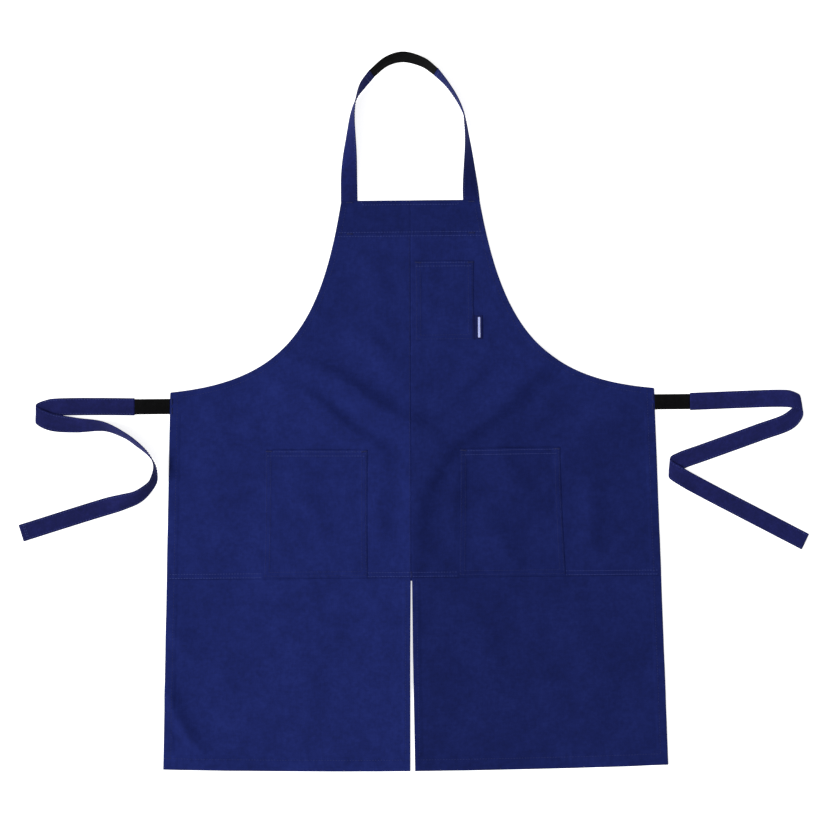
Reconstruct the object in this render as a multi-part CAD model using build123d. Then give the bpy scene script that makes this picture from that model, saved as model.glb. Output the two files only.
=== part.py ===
from build123d import *
import math
import os

# A split-leg welding apron of heavy canvas, laid out flat with its front up.
# Millimetres. The origin is on the centre seam at waist level, on the surface
# the apron lies on: +X is to the right as one looks at the front, +Y runs up
# towards the neck and +Z is up out of the front.

# Cloth and webbing.
cloth = 0.8
strap_thickness = 1.6
elastic_thickness = 1.4
bartack_height = 0.5
body_gap = 0.3

# How far a shape that only trims another one runs past it.
overrun = 1.0

# Outline of the body, measured from the waist line.
bib_height = 284.0
bib_half_width = 103.5
waist_half_width = 362.0
armhole_neck_reach = 32.0
armhole_neck_drop = 190.0
armhole_waist_reach = 170.0
armhole_waist_rise = 15.0

# Split legs below the leg seam.
leg_seam_drop = 280.0
hem_drop = 570.0
hem_half_width = 378.0
hem_corner_rise = 6.0
hem_middle_rise = 1.5
slit_half_gap_top = 0.8
slit_half_gap_hem = 4.0

# Hems, facings and the centre seam, all under the panels.
side_hem = 14.0
bottom_hem = 20.0
slit_hem = 10.0
bib_facing_depth = 52.0
armhole_facing_width = 20.0
armhole_facing_steps = 6
centre_tape_width = 14.0

# Pockets: sewn margins on three sides and a puffed middle, open at the top.
pocket_gap = 6.0
pocket_margin = 8.0
pocket_slope = 10.0
pocket_seam_clearance = 1.5
hip_pocket_width = 150.0
hip_pocket_height = 192.0
left_hip_pocket_x = -144.0
right_hip_pocket_x = 150.0
chest_pocket_width = 89.0
chest_pocket_height = 119.0
chest_pocket_x = 49.5
chest_pocket_bottom = 74.0
label_width = 12.0
label_height = 36.0
label_rise = 1.0

# Bartacks, the short dense rows of thread that hold the corners.
bartack_length = 9.0
bartack_width = 2.0
split_bartack_length = 10.0

# Waist elastics and ties.
waist_elastic_width = 23.0
waist_elastic_length = 52.0
waist_elastic_drop = 9.5
tie_width = 26.0

# Neck straps and the elastic that joins them.
neck_strap_width = 25.0

# Stations along each strap: centre x and y, how far its lower edge is lifted,
# the bearing in which its width points, how far that edge is tilted up, and
# how far the strap has turned over about its own width, all angles in degrees.
# Tie stations are measured from the outer end of their elastic.
left_tie_stations = [
    (0.0, 0.0, 0.0, -90, 0, 0),
    (-56.0, 1.0, 0.0, -90, 0, 0),
    (-112.0, 1.0, 0.0, -90, 0, 0),
    (-133.0, -1.5, 0.5, -92, 0, 15),
    (-147.0, -9.5, 4.0, -92, 0, 90),
    (-125.0, -21.5, 4.5, -101, 0, 180),
    (-87.0, -26.5, 0.0, -98, -30, 180),
    (-46.0, -28.5, 0.0, -98, -56, 180),
    (-15.0, -42.0, 0.0, -120, -69, 180),
    (6.0, -57.0, 0.0, -130, -72, 180),
    (21.5, -71.5, 0.0, -146, -80, 180),
    (30.5, -88.0, 0.0, -176, -90, 180),
    (29.5, -107.0, 0.0, -193, -108, 180),
    (23.0, -118.5, 0.0, -220, -117, 180),
    (5.0, -133.5, 0.0, -238, -136, 180),
    (-17.0, -141.5, 0.0, -249, -155, 180),
    (-48.0, -150.0, 0.0, -253, -180, 180),
    (-90.0, -162.5, 0.0, -253, -180, 180),
    (-171.5, -187.5, 0.0, -253, -180, 180),
]
right_tie_stations = [
    (0.0, 0.0, 0.0, -90, 0, 0),
    (81.0, 2.5, 0.0, -89, 0, 0),
    (134.0, 3.5, 1.5, -91, 0, 0),
    (154.0, 1.0, 4.5, -86, 0, -10),
    (166.5, -8.5, 2.5, -80, 0, -90),
    (147.0, -31.0, 0.0, -66, 0, -180),
    (102.0, -47.5, 0.0, -70, 0, -180),
    (22.0, -75.5, 0.0, -70, 0, -180),
    (-14.0, -88.0, 0.2, -74, 0, -190),
    (-32.0, -98.5, 2.5, -96, 0, -270),
    (-12.0, -113.5, 5.0, -112, 0, -360),
    (22.0, -132.5, 0.5, -118, 0, -360),
    (82.0, -164.5, 0.0, -118, 0, -360),
    (170.5, -211.5, 0.0, -116, 0, -360),
]
# Neck strap stations are measured from the middle of the bib's top edge.
left_neck_stations = [
    (-91.5, 0.0, 0.0, 0, 0, 0),
    (-91.0, 43.0, 0.0, 1, 15, 0),
    (-88.0, 93.0, 0.0, -4, 53, 0),
    (-84.5, 131.0, 0.0, -10, 76, 0),
    (-79.5, 154.0, 0.0, -22, 90, 0),
    (-70.5, 173.5, 0.0, -38, 108, 0),
    (-55.8, 191.5, 0.0, -48, 112, 0),
]
elastic_neck_stations = [
    (-55.8, 191.5, 0.0, -48, 112, 0),
    (-33.0, 209.5, 0.0, -68, 120, 0),
    (-7.5, 216.5, 0.0, -92, 130, 0),
    (22.0, 207.5, 0.0, -114, 121, 0),
    (41.8, 193.0, 0.0, -131, 112, 0),
]
right_neck_stations = [
    (41.8, 193.0, 0.0, -131, 112, 0),
    (58.0, 174.0, 0.0, -142, 102, 0),
    (72.5, 151.5, 0.0, -152, 97, 0),
    (81.5, 129.5, 0.0, -162, 90, 0),
    (85.3, 115.0, 0.0, -168, 84, 0),
    (88.5, 86.0, 0.0, -176, 72, 0),
    (91.0, 41.0, 0.0, -180, 45, 0),
    (91.5, 10.0, 0.0, -181, 14, 0),
    (91.5, 0.0, 0.0, -180, 0, 0),
]

# Levels above the surface: backing layer, panels, then what is sewn on top.
panel_z = cloth
front_z = panel_z + cloth


def side_x(y):
    """Half width of the body at a height y below the waist: a straight side."""
    return waist_half_width + (hem_half_width - waist_half_width) * -y / hem_drop


def armhole_curve():
    """Right armhole from the bib's top corner down to the waist corner, one cubic curve."""
    return Bezier(
        (bib_half_width, bib_height),
        (bib_half_width + armhole_neck_reach, bib_height - armhole_neck_drop),
        (waist_half_width - armhole_waist_reach, armhole_waist_rise),
        (waist_half_width, 0),
    )


def polygon(points):
    """Flat face through the points in turn."""
    return make_face(Polyline(*points, close=True))


def slab(face, z, height):
    """Face raised to level z and thickened upwards."""
    return extrude(Pos(0, 0, z) * face, height)


def box_between(low, high):
    """Box from its lowest corner to its highest."""
    size = [b - a for a, b in zip(low, high)]
    return Pos(*low) * Box(*size, align=(Align.MIN, Align.MIN, Align.MIN))


def mirrored(shape):
    """The same shape on the other side of the centre seam."""
    return mirror(shape, about=Plane.YZ)


def front_face():
    """Right half of the front, from the bib's top edge to the leg seam."""
    seam_x = side_x(-leg_seam_drop)
    top = Line((0, bib_height), (bib_half_width, bib_height))
    rest = Polyline((waist_half_width, 0), (seam_x, -leg_seam_drop), (0, -leg_seam_drop), (0, bib_height))
    return make_face([top, armhole_curve()] + list(rest.edges()))


def front_panel():
    """Right front panel with its straight side edge turned under."""
    seam_x = side_x(-leg_seam_drop)
    hem = polygon([
        (waist_half_width, 0),
        (seam_x, -leg_seam_drop),
        (seam_x - side_hem, -leg_seam_drop),
        (waist_half_width - side_hem, 0),
    ])
    return slab(front_face(), panel_z, cloth) + slab(hem & front_face(), 0, cloth)


def leg_panel():
    """Right leg panel: its side, bottom and slit edges are turned under."""
    top_y = -leg_seam_drop - body_gap
    corner_y = -hem_drop + hem_corner_rise
    side = [(side_x(top_y), top_y), (hem_half_width, corner_y)]
    slit = [(slit_half_gap_hem, -hem_drop), (slit_half_gap_top, top_y)]
    mid_x = (slit_half_gap_hem + hem_half_width) / 2
    mid_y = -hem_drop + hem_middle_rise
    edges = [
        Line(side[0], side[1]),
        ThreePointArc(side[1], (mid_x, mid_y), slit[0]),
        Line(slit[0], slit[1]),
        Line(slit[1], side[0]),
    ]
    whole = make_face(edges)
    inside = polygon([
        (side[0][0] - side_hem, top_y + overrun),
        (side[1][0] - side_hem, corner_y + bottom_hem),
        (mid_x, mid_y + bottom_hem),
        (slit[0][0] + slit_hem, -hem_drop + bottom_hem),
        (slit[1][0] + slit_hem, top_y + overrun),
    ])
    return slab(whole, panel_z, cloth) + slab(whole - inside, 0, cloth)


def centre_seam_tape():
    """Strip felled behind the centre seam from under the bib facing to the split."""
    half = centre_tape_width / 2
    return box_between((-half, -leg_seam_drop, 0), (half, bib_height - bib_facing_depth, cloth))


def bib_facing():
    """Facing behind the top of the bib, trimmed to the bib's own outline."""
    band = Pos(bib_half_width, bib_height - bib_facing_depth / 2) * Rectangle(
        2 * waist_half_width, bib_facing_depth
    )
    half = slab(front_face() & band, 0, cloth)
    return half + mirrored(half)


def armhole_facing():
    """Narrow facing behind the right armhole edge, from the bib facing to the side hem."""
    outer = armhole_curve()
    steps = [i / armhole_facing_steps for i in range(armhole_facing_steps + 1)]
    inward = [outer.tangent_at(u).rotate(Axis.Z, -90) * armhole_facing_width for u in steps]
    inner = Spline([outer.position_at(u) + v for u, v in zip(steps, inward)])
    ends = [Line(outer @ 0, inner @ 0), Line(outer @ 1, inner @ 1)]
    strip = slab(make_face([outer, inner] + ends), 0, cloth)
    low_y = -leg_seam_drop
    above = box_between(
        (0, bib_height - bib_facing_depth, -overrun),
        (waist_half_width, bib_height + overrun, front_z),
    )
    beside = box_between(
        (waist_half_width - side_hem, low_y, -overrun),
        (waist_half_width + overrun, bib_height, front_z),
    )
    return strip - above - beside


def tapered(width, height, slope, rise):
    """Low heap over a width by height rectangle, sloping in on all but its top side."""
    base = Pos(0, height / 2) * Rectangle(width, height)
    top = Pos(0, (height + slope) / 2, rise) * Rectangle(width - 2 * slope, height - slope)
    return loft([base.face(), top.face()], ruled=True)


def pocket(width, height):
    """Patch pocket standing on its bottom edge: margins sewn flat, middle puffed, top open."""
    inner_width = width - 2 * pocket_margin
    inner_height = height - pocket_margin
    margin = box_between((-width / 2, 0, 0), (width / 2, height, cloth))
    puff = Pos(0, pocket_margin) * tapered(inner_width, inner_height, pocket_slope, pocket_gap + cloth)
    hollow = tapered(inner_width - 2 * cloth, inner_height, pocket_slope, pocket_gap)
    return margin + puff - Pos(0, pocket_margin + cloth) * hollow


def bartacks(places, along_y=False):
    """Group of bartacks centred on the given points of the front."""
    size = (bartack_width, bartack_length) if along_y else (bartack_length, bartack_width)
    return [Pos(x, y, z + bartack_height / 2) * Box(*size, bartack_height) for x, y, z in places]


def ribbon(stations, start, width, thickness, side):
    """Flat strap: a width by thickness section carried straight from station to station.

    side is +1 or -1: the strap leaves each station square to the bearing of its
    width, turned a quarter that way. A tilted strap stands on its lower edge.
    """
    rings = []
    for x, y, lift, bearing, tilt, turn in stations:
        b, t, p = (math.radians(a) for a in (bearing, tilt, turn))
        across = Vector(math.cos(t) * math.cos(b), math.cos(t) * math.sin(b), math.sin(t))
        heading = Vector(-math.sin(b) * side, math.cos(b) * side, 0)
        along = heading * math.cos(p) + Vector(0, 0, math.sin(p))
        z = lift + width / 2 * abs(math.sin(t)) + thickness / 2
        plane = Plane(origin=(start[0] + x, start[1] + y, z), x_dir=across, z_dir=along)
        u, v = width / 2, thickness / 2
        corners = [(-u, -v, 0), (u, -v, 0), (u, v, 0), (-u, v, 0)]
        rings.append([plane.from_local_coords(Vector(*c)) for c in corners])
    faces = [Face(Wire.make_polygon(ring)) for ring in (rings[0], rings[-1])]
    for near, far in zip(rings, rings[1:]):
        for k in range(4):
            edges = [Edge.make_line(ring[k - 1], ring[k]) for ring in (near, far)]
            faces.append(Face.make_surface_from_curves(*edges))
    return Solid(Shell(faces))


def waist_elastic(sign):
    """Elastic from the side edge out to the tie, lying flat."""
    size = (waist_elastic_length, waist_elastic_width, elastic_thickness)
    return Pos(sign * waist_elastic_start, waist_elastic_y) * Box(
        *size, align=(Align.MIN if sign > 0 else Align.MAX, Align.CENTER, Align.MIN)
    )


def waist_tie(sign, stations):
    """Tie from the outer end of its elastic, folded back on itself on the surface."""
    outer = waist_elastic_start + waist_elastic_length + body_gap
    return ribbon(stations, (sign * outer, waist_elastic_y), tie_width, strap_thickness, sign)


def neck_piece(stations, thickness):
    """One length of the neck loop, standing on its edge where it is tilted."""
    start = (0, bib_height + body_gap)
    return ribbon(stations, start, neck_strap_width, thickness, 1)


waist_elastic_y = -waist_elastic_drop - waist_elastic_width / 2
waist_elastic_start = side_x(-waist_elastic_drop - waist_elastic_width) + body_gap
hip_pocket_y = -leg_seam_drop + pocket_seam_clearance
hip_pocket_top = hip_pocket_y + hip_pocket_height
chest_pocket_top = chest_pocket_bottom + chest_pocket_height
margin_top = front_z + cloth
hip_pocket_shape = pocket(hip_pocket_width, hip_pocket_height)
chest_pocket_shape = pocket(chest_pocket_width, chest_pocket_height)
chest_pocket_right = chest_pocket_x + chest_pocket_width / 2
label_y = chest_pocket_bottom + label_rise

right_front = front_panel()
right_leg = leg_panel()
right_armhole_facing = armhole_facing()

hip_tack_places = [
    (x + s * (hip_pocket_width - bartack_length) / 2, hip_pocket_top - bartack_width, margin_top)
    for x in (left_hip_pocket_x, right_hip_pocket_x)
    for s in (-1, 1)
]
chest_tack_places = [
    (
        chest_pocket_x + s * (chest_pocket_width - bartack_length) / 2,
        chest_pocket_top - bartack_width,
        margin_top,
    )
    for s in (-1, 1)
]
neck_tack_places = [
    (s * (bib_half_width - neck_strap_width / 2), bib_height - y, front_z)
    for s in (-1, 1)
    for y in (bartack_width, bib_facing_depth - bartack_width)
]
tie_tack_places = [
    (
        s * (waist_half_width - bartack_width),
        waist_elastic_y + d * (waist_elastic_width - bartack_length) / 2,
        front_z,
    )
    for s in (-1, 1)
    for d in (-1, 1)
]
split_tack = Pos(0, -leg_seam_drop + split_bartack_length / 2, front_z + bartack_height / 2) * Box(
    bartack_width, split_bartack_length, bartack_height
)

nodes = {
    "right_front_panel": right_front,
    "left_front_panel": mirrored(right_front),
    "centre_seam_tape": centre_seam_tape(),
    "bib_facing": bib_facing(),
    "right_armhole_facing": right_armhole_facing,
    "left_armhole_facing": mirrored(right_armhole_facing),
    "right_leg_panel": right_leg,
    "left_leg_panel": mirrored(right_leg),
    "left_hip_pocket": Pos(left_hip_pocket_x, hip_pocket_y, front_z) * hip_pocket_shape,
    "right_hip_pocket": Pos(right_hip_pocket_x, hip_pocket_y, front_z) * hip_pocket_shape,
    "chest_pocket": Pos(chest_pocket_x, chest_pocket_bottom, front_z) * chest_pocket_shape,
    "label_tab": box_between(
        (chest_pocket_right, label_y, front_z),
        (chest_pocket_right + label_width, label_y + label_height, front_z + cloth),
    ),
    "hip_pocket_bartacks": bartacks(hip_tack_places),
    "chest_pocket_bartacks": bartacks(chest_tack_places),
    "split_bartack": split_tack,
    "neck_strap_bartacks": bartacks(neck_tack_places),
    "waist_elastic_bartacks": bartacks(tie_tack_places, along_y=True),
    "left_waist_elastic": waist_elastic(-1),
    "right_waist_elastic": waist_elastic(1),
    "left_waist_tie": waist_tie(-1, left_tie_stations),
    "right_waist_tie": waist_tie(1, right_tie_stations),
    "left_neck_strap": neck_piece(left_neck_stations, strap_thickness),
    "neck_elastic": neck_piece(elastic_neck_stations, elastic_thickness),
    "right_neck_strap": neck_piece(right_neck_stations, strap_thickness),
}

os.makedirs("parts", exist_ok=True)
for name, shape in nodes.items():
    solids = shape if isinstance(shape, list) else shape.solids()
    whole = solids[0] if len(solids) == 1 else Compound(children=list(solids))
    whole.label = name
    export_step(whole, f"parts/{name}.step")
    print(name, len(solids), round(sum(s.volume for s in solids)))
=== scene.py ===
import bpy
import numpy as np
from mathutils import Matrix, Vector


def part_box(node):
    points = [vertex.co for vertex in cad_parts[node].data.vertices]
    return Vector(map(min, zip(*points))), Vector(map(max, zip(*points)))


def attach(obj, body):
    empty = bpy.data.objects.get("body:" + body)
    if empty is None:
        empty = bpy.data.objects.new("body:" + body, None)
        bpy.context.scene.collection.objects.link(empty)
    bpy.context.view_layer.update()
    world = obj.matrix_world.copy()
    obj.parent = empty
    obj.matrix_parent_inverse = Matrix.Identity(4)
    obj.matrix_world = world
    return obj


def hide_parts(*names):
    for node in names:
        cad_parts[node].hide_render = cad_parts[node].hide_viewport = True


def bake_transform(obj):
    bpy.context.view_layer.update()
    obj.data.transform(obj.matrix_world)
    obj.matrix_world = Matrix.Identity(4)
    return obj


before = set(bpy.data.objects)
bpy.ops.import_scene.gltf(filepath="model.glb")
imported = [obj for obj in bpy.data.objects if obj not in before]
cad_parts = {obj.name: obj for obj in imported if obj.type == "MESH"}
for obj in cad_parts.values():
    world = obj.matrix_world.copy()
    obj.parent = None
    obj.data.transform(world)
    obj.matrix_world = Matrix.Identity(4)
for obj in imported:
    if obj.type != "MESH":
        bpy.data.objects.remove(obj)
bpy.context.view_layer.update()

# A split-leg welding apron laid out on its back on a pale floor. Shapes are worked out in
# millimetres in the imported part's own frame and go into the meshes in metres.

MM = 0.001
rng = np.random.default_rng(7)

# ---- sizes read from the frame, in millimetres ---------------------------------------------


def node_box(name):
    """Lowest and highest corners of a CAD node in millimetres."""
    low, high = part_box(name)
    return np.array(low) / MM, np.array(high) / MM


def metres(*sizes):
    """Sizes in millimetres as a tuple in metres."""
    return tuple(size * MM for size in sizes)


front_low, front_high = node_box("right_front_panel")
leg_low, leg_high = node_box("right_leg_panel")
tape_low, tape_high = node_box("centre_seam_tape")
facing_low, facing_high = node_box("bib_facing")
elastic_low, elastic_high = node_box("right_waist_elastic")

BIB_TOP = front_high[1]
LEG_SEAM = front_low[1]
LEG_TOP = leg_high[1]
HEM = leg_low[1]
HEM_HALF = leg_high[0]
FACING_EDGE = facing_low[1]
CLOTH = tape_high[2] - tape_low[2]
BODY_GAP = LEG_SEAM - LEG_TOP
TAPE_HALF = (tape_high[0] - tape_low[0]) / 2

# ---- sizes of the cut that the frame's boxes don't give ------------------------------------

BIB_HALF = 103.5
WAIST_HALF = 362.0
NECK_REACH, NECK_DROP = 32.0, 190.0
WAIST_REACH, WAIST_RISE = 170.0, 15.0
HEM_CORNER_RISE = 6.0
SLIT_TOP, SLIT_HEM = 0.9, 3.5
SEAM_LEAN, SEAM_LOW_X = -0.0068, -4.6
SIDE_HEM, BOTTOM_HEM, SLIT_HEM_WIDTH = 14.0, 20.0, 10.0
ARMHOLE_FACING = 20.0
# Share of a front panel's rows that end on the armhole; the rest end on its straight side.
ARMHOLE_SHARE = 0.6
POCKET_TURN, POCKET_HEM, POCKET_BOW = 8.0, 14.0, 0.8
# How far the front's seam allowance laps under the legs.
LAP = 5.0
# Distances of the rows of stitches from the edges they follow, or their heights.
BIB_ROWS = (236.6, 230.6)
ARMHOLE_ROWS = (2.5, 8.5)
SEAM_ROW = -2.0
HEM_ROW_INSET = 3.0
LEG_SEAM_ROWS = (-272.5, -278.3)
POCKET_ROWS = (2.2, 8.0)
MOUTH_ROWS = {"left_hip_pocket": (3.2, 9.4), "right_hip_pocket": (3.2, 9.4), "chest_pocket": (2.6, 8.0)}
BAR_WIDTH, BAR_HEIGHT = 3.4, 30.5
# Spacing of the sections along a strap.
STRAP_STEP = 2.2
# Half the thickness of the thread. It is 0.5 mm thick and is drawn at 0.8 mm, so that its rows show.
THREAD = 0.4
# Pitch and length of the stitches in cloth, their length in straps, and the size of a bartack.
PITCH, STITCH, STRAP_STITCH = 4.2, 3.2, 3.0
BARTACK_LENGTH, BARTACK_WIDTH, BARTACK_THREADS, BARTACK_THREAD = 9.0, 2.6, 10, 0.5
# How far the middle of a stitch sinks into the cloth on its upper face and on its lower one.
SUNK = {1: 0.2, -1: 0.7}
# Distances below the leg seam between which a lifted leg would bend; no bend is set up from them.
LEG_BEND = (5.0, 42.0)
# Room between the floor and the lowest layer, and what one more layer underneath adds.
SLACK, LAYER = 0.15, 0.75
# The turned edges of a pocket are pressed into it, and add less than a layer.
TURNED, PRESSED_EDGE = 0.3, 0.5
TIE_WIDTH, NECK_WIDTH, STRAP_THICK, ELASTIC_THICK = 26.0, 25.0, 1.6, 1.4
KNIT_WIDTH = NECK_WIDTH - 0.6
# Thickness over which the rims of the body cloth, of the facings and of the pockets are rounded.
BODY_RIM, FACING_RIM, POCKET_RIM = 2.0, 1.2, 4.0

# Stations along each strap: centre x and y, lift of the lower edge, bearing of the width,
# tilt of that edge and how far the strap has turned over about its width, in degrees.
LEFT_TIE = [
    (0.0, 0.0, 0.0, -90, 0, 0),
    (-56.0, 1.0, 0.0, -90, 0, 0),
    (-112.0, 1.0, 0.0, -90, 0, 0),
    (-133.0, -1.5, 0.5, -92, 0, 15),
    (-147.0, -9.5, 4.0, -92, 0, 90),
    (-125.0, -21.5, 4.5, -101, 0, 180),
    (-87.0, -26.5, 0.0, -98, -30, 180),
    (-46.0, -28.5, 0.0, -98, -56, 180),
    (-15.0, -42.0, 0.0, -120, -69, 180),
    (6.0, -57.0, 0.0, -130, -72, 180),
    (21.5, -71.5, 0.0, -146, -80, 180),
    (30.5, -88.0, 0.0, -176, -90, 180),
    (29.5, -107.0, 0.0, -193, -108, 180),
    (23.0, -118.5, 0.0, -220, -117, 180),
    (5.0, -133.5, 0.0, -238, -136, 180),
    (-17.0, -141.5, 0.0, -249, -155, 180),
    (-48.0, -150.0, 0.0, -253, -180, 180),
    (-90.0, -162.5, 0.0, -253, -180, 180),
    (-171.5, -187.5, 0.0, -253, -180, 180),
]
RIGHT_TIE = [
    (0.0, 0.0, 0.0, -90, 0, 0),
    (81.0, 2.5, 0.0, -89, 0, 0),
    (134.0, 3.5, 1.5, -91, 0, 0),
    (154.0, 1.0, 4.5, -86, 0, -10),
    (166.5, -8.5, 2.5, -80, 0, -90),
    (147.0, -31.0, 0.0, -66, 0, -180),
    (102.0, -47.5, 0.0, -70, 0, -180),
    (22.0, -75.5, 0.0, -70, 0, -180),
    (-14.0, -88.0, 0.2, -74, 0, -190),
    (-32.0, -98.5, 2.5, -96, 0, -270),
    (-12.0, -113.5, 5.0, -112, 0, -360),
    (22.0, -132.5, 0.5, -118, 0, -360),
    (82.0, -164.5, 0.0, -118, 0, -360),
    (170.5, -211.5, 0.0, -116, 0, -360),
]
LEFT_NECK = [
    (-91.5, 0.0, 0.0, 0, 0, 0),
    (-91.0, 43.0, 0.0, 1, 15, 0),
    (-88.0, 93.0, 0.0, -4, 53, 0),
    (-84.5, 131.0, 0.0, -10, 76, 0),
    (-78.5, 153.5, 0.0, -22, 90, 0),
    (-69.5, 171.0, 0.0, -38, 108, 0),
    (-55.8, 188.3, 0.0, -48, 113, 0),
]
ELASTIC_NECK = [
    (-55.8, 188.3, 0.0, -48, 113, 0),
    (-33.0, 206.3, 0.0, -68, 117, 0),
    (-7.5, 212.8, 0.0, -92, 122, 0),
    (21.0, 204.6, 0.0, -114, 117, 0),
    (40.0, 190.2, 0.0, -131, 111, 0),
]
RIGHT_NECK = [
    (40.0, 190.2, 0.0, -131, 111, 0),
    (56.0, 171.8, 0.0, -142, 100, 0),
    (70.4, 150.5, 0.0, -152, 95, 0),
    (79.6, 131.5, 0.0, -162, 90, 0),
    (83.2, 116.5, 0.0, -168, 82, 0),
    (86.3, 86.0, 0.0, -176, 71, 0),
    (88.8, 41.0, 0.0, -180, 42, 0),
    (90.6, 10.0, 0.0, -181, 12, 0),
    (91.3, 0.0, 0.0, -180, 0, 0),
]

# ---- materials ------------------------------------------------------------------------------


def srgb(text):
    """Linear colour with alpha from a six-digit hex sRGB value."""
    c = np.array([int(text[i:i + 2], 16) / 255 for i in (0, 2, 4)])
    linear = np.where(c <= 0.04045, c / 12.92, ((c + 0.055) / 1.055) ** 2.4)
    return (*[float(v) for v in linear], 1.0)


def add(tree, kind, inputs=None, **settings):
    """New node of a kind, with its settings; an input is set, or linked if it is given a socket."""
    made = tree.nodes.new(kind)
    for key, value in settings.items():
        setattr(made, key, value)
    for key, value in (inputs or {}).items():
        if isinstance(value, bpy.types.NodeSocket):
            tree.links.new(value, made.inputs[key])
        else:
            made.inputs[key].default_value = value
    return made


def ramp(tree, value, stops):
    """Colour ramp through (place, colour) stops."""
    made = add(tree, "ShaderNodeValToRGB", {"Fac": value})
    elements, stops = made.color_ramp.elements, list(stops)
    while len(elements) < len(stops):
        elements.new(0.5)
    for element, (place, colour) in zip(elements, stops):
        element.position = place
        element.color = colour
    return made.outputs["Color"]


def new_material(name, roughness, specular, sheen=0.0, sheen_tint=None, sheen_roughness=0.5):
    """Material with a principled shader whose constant values sit on its own sockets."""
    made = bpy.data.materials.new(name)
    made.use_nodes = True
    shader = made.node_tree.nodes["Principled BSDF"]
    shader.inputs["Roughness"].default_value = roughness
    shader.inputs["Specular IOR Level"].default_value = specular
    shader.inputs["Sheen Weight"].default_value = sheen
    shader.inputs["Sheen Roughness"].default_value = sheen_roughness
    if sheen_tint:
        shader.inputs["Sheen Tint"].default_value = sheen_tint
    return made, made.node_tree, shader


def woven(name, colours, warp_mm, weft_mm, blotch_mm, bump_mm, coordinates="Object", shades=(), **finish):
    """Woven cloth: warp and weft streaks over small blotches and slow patches of colour.

    colours are the dark, middle and light hex values. warp_mm and weft_mm are the (length, width)
    of streaks along Y and along X, blotch_mm the size of the blotches, a quarter of that of the
    patches and four times that of the flecks, and bump_mm the height of the yarns. Each of shades
    is two heights in millimetres and the share by which the colour is lighter past the second; the
    canvases use them for painted light and shade and for a darker band over the bib facing.
    """
    made, tree, shader = new_material(name, **finish)
    where = add(tree, "ShaderNodeTexCoord").outputs[coordinates]
    streaks = []
    for size in ((warp_mm[1], warp_mm[0], 30), (weft_mm[0], weft_mm[1], 30)):
        scale = tuple(1 / (mm * MM) for mm in size)
        moved = add(tree, "ShaderNodeMapping", {"Vector": where, "Scale": scale})
        noise = add(tree, "ShaderNodeTexNoise", {"Vector": moved.outputs[0], "Scale": 1.0, "Detail": 2.0})
        streaks.append(noise.outputs["Fac"])
    yarn = add(tree, "ShaderNodeMath", {0: streaks[0], 1: streaks[1]}, operation="ADD")
    total = {"operation": "MULTIPLY_ADD"}
    value = add(tree, "ShaderNodeMath", {0: yarn.outputs[0], 1: YARN_SHARE, 2: VALUE_START}, **total)
    for times, share in ((1 / 4, FLECK_SHARE), (1, BLOTCH_SHARE), (4, PATCH_SHARE)):
        look = {"Vector": where, "Scale": 1 / (blotch_mm * times * MM), "Detail": 5.0, "Roughness": 0.6}
        noise = add(tree, "ShaderNodeTexNoise", look)
        value = add(tree, "ShaderNodeMath", {0: noise.outputs["Fac"], 1: share, 2: value.outputs[0]}, **total)
    colour = ramp(tree, value.outputs[0], zip((0.32, 0.50, 0.68), map(srgb, colours.split())))
    height = add(tree, "ShaderNodeSeparateXYZ", {"Vector": where}).outputs["Y"] if shades else None
    for start, end, change in shades:
        span = {"Value": height, "From Min": start * MM, "From Max": end * MM,
                "To Min": 1.0, "To Max": 1.0 + change}
        share = add(tree, "ShaderNodeMapRange", span, interpolation_type="SMOOTHSTEP")
        scaled = add(tree, "ShaderNodeVectorMath", {0: colour, "Scale": share.outputs[0]}, operation="SCALE")
        colour = scaled.outputs[0]
    tree.links.new(colour, shader.inputs["Base Color"])
    bump = add(tree, "ShaderNodeBump", {"Height": yarn.outputs[0], "Strength": 0.9, "Distance": bump_mm * MM})
    tree.links.new(bump.outputs[0], shader.inputs["Normal"])
    return made


# Shares of yarns, flecks, blotches and patches in a cloth's colour, centred on a half.
YARN_SHARE, FLECK_SHARE, BLOTCH_SHARE, PATCH_SHARE = 0.16, 0.40, 0.30, 0.42
VALUE_START = 0.5 - YARN_SHARE - (FLECK_SHARE + BLOTCH_SHARE + PATCH_SHARE) / 2

# Cotton canvas dyed navy: matte, a little lighter where the dye has worn, with slubs in both
# directions. The real yarns are 0.5 mm apart, so they are drawn as streaks 1.5 mm wide to show.
# Painted light and shade: lower down on the front and on the legs the left half is painted a shade
# lighter, as if it faced the key light on the left, and the right half a shade darker, as if it faced
# away. Above the bib facing's edge the colour is a shade darker.
SLUBS = dict(warp_mm=(16, 1.5), weft_mm=(16, 1.5), blotch_mm=22, bump_mm=0.25)
CANVAS = dict(SLUBS, roughness=0.92, specular=0.04, sheen=0.015, sheen_tint=srgb("6E78C8"))
NAVY = "151D4E 182158 1C2661"
# The colour is a shade darker above the bib facing's edge.
DARKER_FACING_BAND = (FACING_EDGE - 1, FACING_EDGE + 1, -0.13)
# Left half: painted light lower down. Right half: painted shade lower down.
canvas_left_painted_light = woven("navy_cotton_canvas_left", NAVY, shades=((130, -50, 0.09), DARKER_FACING_BAND), **CANVAS)
canvas_right_painted_shade = woven("navy_cotton_canvas_right", NAVY, shades=((50, -70, -0.15), DARKER_FACING_BAND), **CANVAS)
# The inside of the same canvas, a shade duller because the dye is rubbed less into it.
canvas_inside = woven("canvas_reverse", "121740 151B47 191F4F", **SLUBS, roughness=0.95, specular=0.1)
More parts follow.
